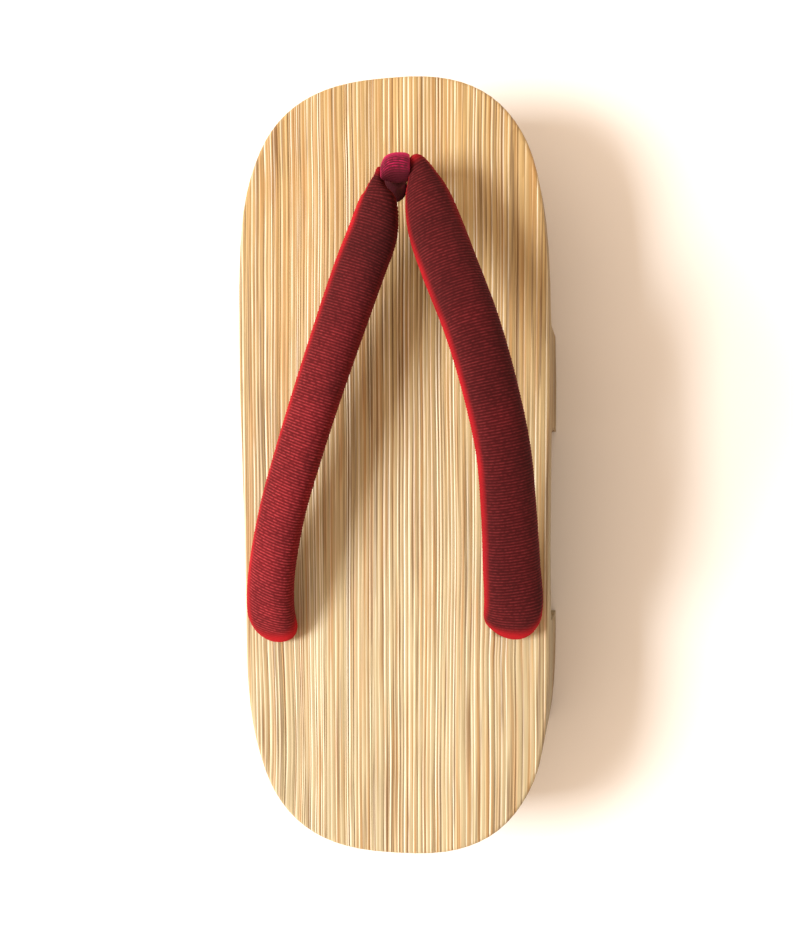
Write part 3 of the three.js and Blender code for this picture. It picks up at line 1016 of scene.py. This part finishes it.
def cord_tube(bm, path, settings, closed):
    """A cord laid from three strands along a path of points, closed on itself or capped."""
    strand_layer = bm.verts.layers.float.get("strand") or bm.verts.layers.float.new("strand")
    radius = settings.diameter / MM / 2
    count = len(path)
    lengths = [0.0]
    for a, b in zip(path, path[1:]):
        lengths.append(lengths[-1] + (b - a).length)
    passed = lengths[-1] / (settings.strand_pitch / MM)
    if closed:
        passed = round(passed)
    frames = []
    normal = None
    for i, middle in enumerate(path):
        if closed:
            ahead, back = path[(i + 1) % (count - 1)], path[(i - 1) % (count - 1)]
        else:
            ahead, back = path[min(i + 1, count - 1)], path[max(i - 1, 0)]
        tangent = (ahead - back).normalized()
        reference = Vector((0, 0, 1)) if normal is None else normal
        normal = (reference - reference.dot(tangent) * tangent).normalized()
        frames.append((middle, normal, tangent.cross(normal)))
    twist = 0.0
    if closed:
        # The carried frame comes back turned, and that turn is spread along the cord.
        _, first, second = frames[0]
        twist = -math.atan2(frames[-1][1].dot(second), frames[-1][1].dot(first))
    grid = rolled_grid(bm, count - 1, CORD_SIDES)
    for v, row, column in grid:
        middle, first, second = frames[row]
        share = lengths[row] / lengths[-1]
        around = 2 * math.pi * column / CORD_SIDES
        angle = around + twist * share
        strand = 0.5 + 0.5 * math.cos(STRANDS * around - 2 * math.pi * passed * share)
        end = 1.0
        if not closed:
            left = min(lengths[row], lengths[-1] - lengths[row])
            end = math.sqrt(max(1 - (1 - min(left / radius, 1)) ** 2, 0))
        reach = radius * end * (1 - STRAND_DEPTH * (1 - strand))
        v.co = middle + (first * math.cos(angle) + second * math.sin(angle)) * reach
        v[strand_layer] = strand
    bmesh.ops.remove_doubles(bm, verts=[v for v, _, _ in grid], dist=1e-4)


def cord_knot(settings, x, y, heading):
    """A knot of cord pulled up against the board's underside, with two short tails."""
    bm = bmesh.new()
    middle = BOARD_UNDERSIDE - GAP - KNOT_RADIUS / 2 - settings.diameter / MM / 2
    # A trefoil: it goes twice round the middle while it passes over and under itself three times.
    path = []
    for i in range(KNOT_STEPS + 1):
        turn = 4 * math.pi * i / KNOT_STEPS
        lobe = 1.5 * turn
        out = KNOT_RADIUS * (2 + math.cos(lobe)) / 2
        rise = KNOT_RADIUS / 2 * math.sin(lobe)
        path.append(Vector((x + out * math.cos(turn), y + out * math.sin(turn), middle + rise)))
    cord_tube(bm, path, settings, closed=True)
    for spread in (-TAIL_SPREAD, TAIL_SPREAD):
        angle = heading + spread
        tail = []
        for i in range(TAIL_STEPS + 1):
            share = TAIL_START + (1 - TAIL_START) * i / TAIL_STEPS
            out = TAIL_LENGTH * share
            drop = TAIL_DROP * share
            tail.append(Vector((x + math.cos(angle) * out, y + math.sin(angle) * out, middle - drop)))
        cord_tube(bm, tail, settings, closed=False)
    bmesh.ops.recalc_face_normals(bm, faces=bm.faces)
    return bm


# The studio.


def paper_floor(scene, settings):
    """A round sheet of background paper just under the teeth."""
    bm = bmesh.new()
    bmesh.ops.create_circle(bm, cap_ends=True, radius=FLOOR_RADIUS, segments=96)
    bmesh.ops.translate(bm, vec=(0, 0, -FLOOR_DROP), verts=bm.verts)
    mesh = bpy.data.meshes.new("paper_floor")
    bm.to_mesh(mesh)
    bm.free()
    mesh.materials.append(matt_paper(settings))
    floor = bpy.data.objects.new("paper_floor", mesh)
    scene.collection.objects.link(floor)


def window_light(scene, settings):
    """A soft square light to the left, turned to the sandal."""
    light = bpy.data.lights.new("window", "AREA")
    light.shape = "SQUARE"
    light.size = settings.key_size
    light.energy = settings.key_power
    light.color = WINDOW_TINT
    window = bpy.data.objects.new("window", light)
    window.location = WINDOW_PLACE
    window.rotation_euler = window.location.to_track_quat("Z", "Y").to_euler()
    scene.collection.objects.link(window)


def warm_room(scene, settings):
    """Warm light from all round, brightest on the window's side. The camera sees a pale backdrop."""
    world = bpy.data.worlds.new("warm_room")
    world.use_nodes = True
    tree = world.node_tree
    tree.nodes.clear()
    direction = add(tree, "ShaderNodeTexCoord").outputs["Generated"]
    toward = add(tree, "ShaderNodeSeparateXYZ", {0: direction})
    strength = add(
        tree,
        "ShaderNodeMapRange",
        {
            0: toward.outputs["X"],
            1: -1.0,
            2: 1.0,
            3: settings.room * (1 + settings.room_slope),
            4: settings.room * (1 - settings.room_slope),
        },
    )
    room = add(
        tree,
        "ShaderNodeBackground",
        {"Color": (*linear("#ffe3c9"), 1), "Strength": strength.outputs[0]},
    )
    backdrop = add(
        tree, "ShaderNodeBackground", {"Color": (*linear("#fbfaf8"), 1), "Strength": 1.0}
    )
    seen = add(tree, "ShaderNodeLightPath").outputs["Is Camera Ray"]
    mixed = add(
        tree, "ShaderNodeMixShader", {0: seen, 1: room.outputs[0], 2: backdrop.outputs[0]}
    )
    add(tree, "ShaderNodeOutputWorld", {0: mixed.outputs[0]})
    scene.world = world


def overhead_camera(scene):
    """The camera over the sandal, turned a little so that the board stands upright in the picture."""
    data = bpy.data.cameras.new("over_the_sandal")
    camera = bpy.data.objects.new("over_the_sandal", data)
    scene.collection.objects.link(camera)
    scene.camera = camera
    camera.location = Vector(CAMERA_PLACE) * MM
    forward = (Vector(CAMERA_TARGET) * MM - camera.location).normalized()
    roll = math.radians(CAMERA_ROLL)
    right = forward.cross(Vector((math.sin(roll), math.cos(roll), 0))).normalized()
    above = right.cross(forward)
    camera.rotation_euler = Matrix((right, above, -forward)).transposed().to_euler()
    data.sensor_fit = "VERTICAL"
    data.sensor_height = CAMERA_SENSOR
    data.sensor_width = CAMERA_SENSOR
    data.lens = CAMERA_LENS
    data.clip_start = 0.01
    data.clip_end = 20.0


# Operators.


class GETA_OT_sole(bpy.types.Operator):
    """Carve and brush the cedar sole"""

    bl_idname = "geta.sole"
    bl_label = "Cedar Sole"
    bl_options = {"REGISTER", "UNDO"}

    def execute(self, context):
        settings = context.scene.geta_sole
        material = brushed_cedar(settings)
        finish_piece(board(settings), "brushed_sole", material, ["wooden_sole"])
        return {"FINISHED"}


class GETA_OT_strap(bpy.types.Operator):
    """Stuff the two arms of the velvet strap"""

    bl_idname = "geta.strap"
    bl_label = "Velvet Strap"
    bl_options = {"REGISTER", "UNDO"}

    def execute(self, context):
        settings = context.scene.geta_strap
        material = ribbed_velvet(
            "ribbed_red_velvet", settings.ground, settings.rib, settings.pile, linear("#ff2c34")
        )
        piece = finish_piece(velvet_strap(settings), "velvet_strap", material, ["strap"])
        return {"FINISHED"}


class GETA_OT_toe_loop(bpy.types.Operator):
    """Fold the toe loop over the strap's neck"""

    bl_idname = "geta.toe_loop"
    bl_label = "Toe Loop"
    bl_options = {"REGISTER", "UNDO"}

    def execute(self, context):
        settings = context.scene.geta_loop
        material = ribbed_velvet(
            "ribbed_magenta_velvet", settings.ground, settings.pile, settings.pile, linear("#ff4c88")
        )
        finish_piece(toe_loop(settings), "velvet_toe_loop", material, ["toe_loop"])
        return {"FINISHED"}


class GETA_OT_cord_knots(bpy.types.Operator):
    """Tie the three cord knots under the board"""

    bl_idname = "geta.cord_knots"
    bl_label = "Cord Knots"
    bl_options = {"REGISTER", "UNDO"}

    def execute(self, context):
        settings = context.scene.geta_cord
        material = twisted_cotton(settings)
        for node, (x, y, heading) in KNOTS.items():
            bm = cord_knot(settings, x, y, heading)
            finish_piece(bm, "twisted_" + node, material, [node])
        return {"FINISHED"}


class GETA_OT_studio(bpy.types.Operator):
    """Lay the floor, light it from the left and set the camera over the sandal"""

    bl_idname = "geta.studio"
    bl_label = "Studio"
    bl_options = {"REGISTER", "UNDO"}

    def execute(self, context):
        scene, settings = context.scene, context.scene.geta_studio
        paper_floor(scene, settings)
        window_light(scene, settings)
        warm_room(scene, settings)
        overhead_camera(scene)
        scene.view_settings.view_transform = "Standard"
        return {"FINISHED"}


class GETA_PT_panel(bpy.types.Panel):
    """The sandal's settings and steps"""

    bl_idname = "GETA_PT_panel"
    bl_label = "Geta Sandal"
    bl_space_type = "VIEW_3D"
    bl_region_type = "UI"
    bl_category = "Geta"

    def draw(self, context):
        for group, operator in STEPS:
            box = self.layout.box()
            settings = getattr(context.scene, group)
            for name in settings.bl_rna.properties.keys():
                if name not in ("rna_type", "name"):
                    box.prop(settings, name)
            box.operator(operator)


STEPS = [
    ("geta_sole", "geta.sole"),
    ("geta_strap", "geta.strap"),
    ("geta_loop", "geta.toe_loop"),
    ("geta_cord", "geta.cord_knots"),
    ("geta_studio", "geta.studio"),
]
GROUPS = {
    "geta_sole": GetaSoleSettings,
    "geta_strap": GetaStrapSettings,
    "geta_loop": GetaLoopSettings,
    "geta_cord": GetaCordSettings,
    "geta_studio": GetaStudioSettings,
}
CLASSES = [
    *GROUPS.values(),
    GETA_OT_sole,
    GETA_OT_strap,
    GETA_OT_toe_loop,
    GETA_OT_cord_knots,
    GETA_OT_studio,
    GETA_PT_panel,
]


def register():
    for cls in CLASSES:
        bpy.utils.register_class(cls)
    for name, cls in GROUPS.items():
        setattr(bpy.types.Scene, name, PointerProperty(type=cls))


def unregister():
    for name in GROUPS:
        delattr(bpy.types.Scene, name)
    for cls in reversed(CLASSES):
        bpy.utils.unregister_class(cls)


def main():
    """Builds the sandal and its studio."""
    register()
    bpy.ops.geta.studio()
    bpy.ops.geta.sole()
    bpy.ops.geta.strap()
    bpy.ops.geta.toe_loop()
    bpy.ops.geta.cord_knots()


if __name__ == "__main__":
    main()
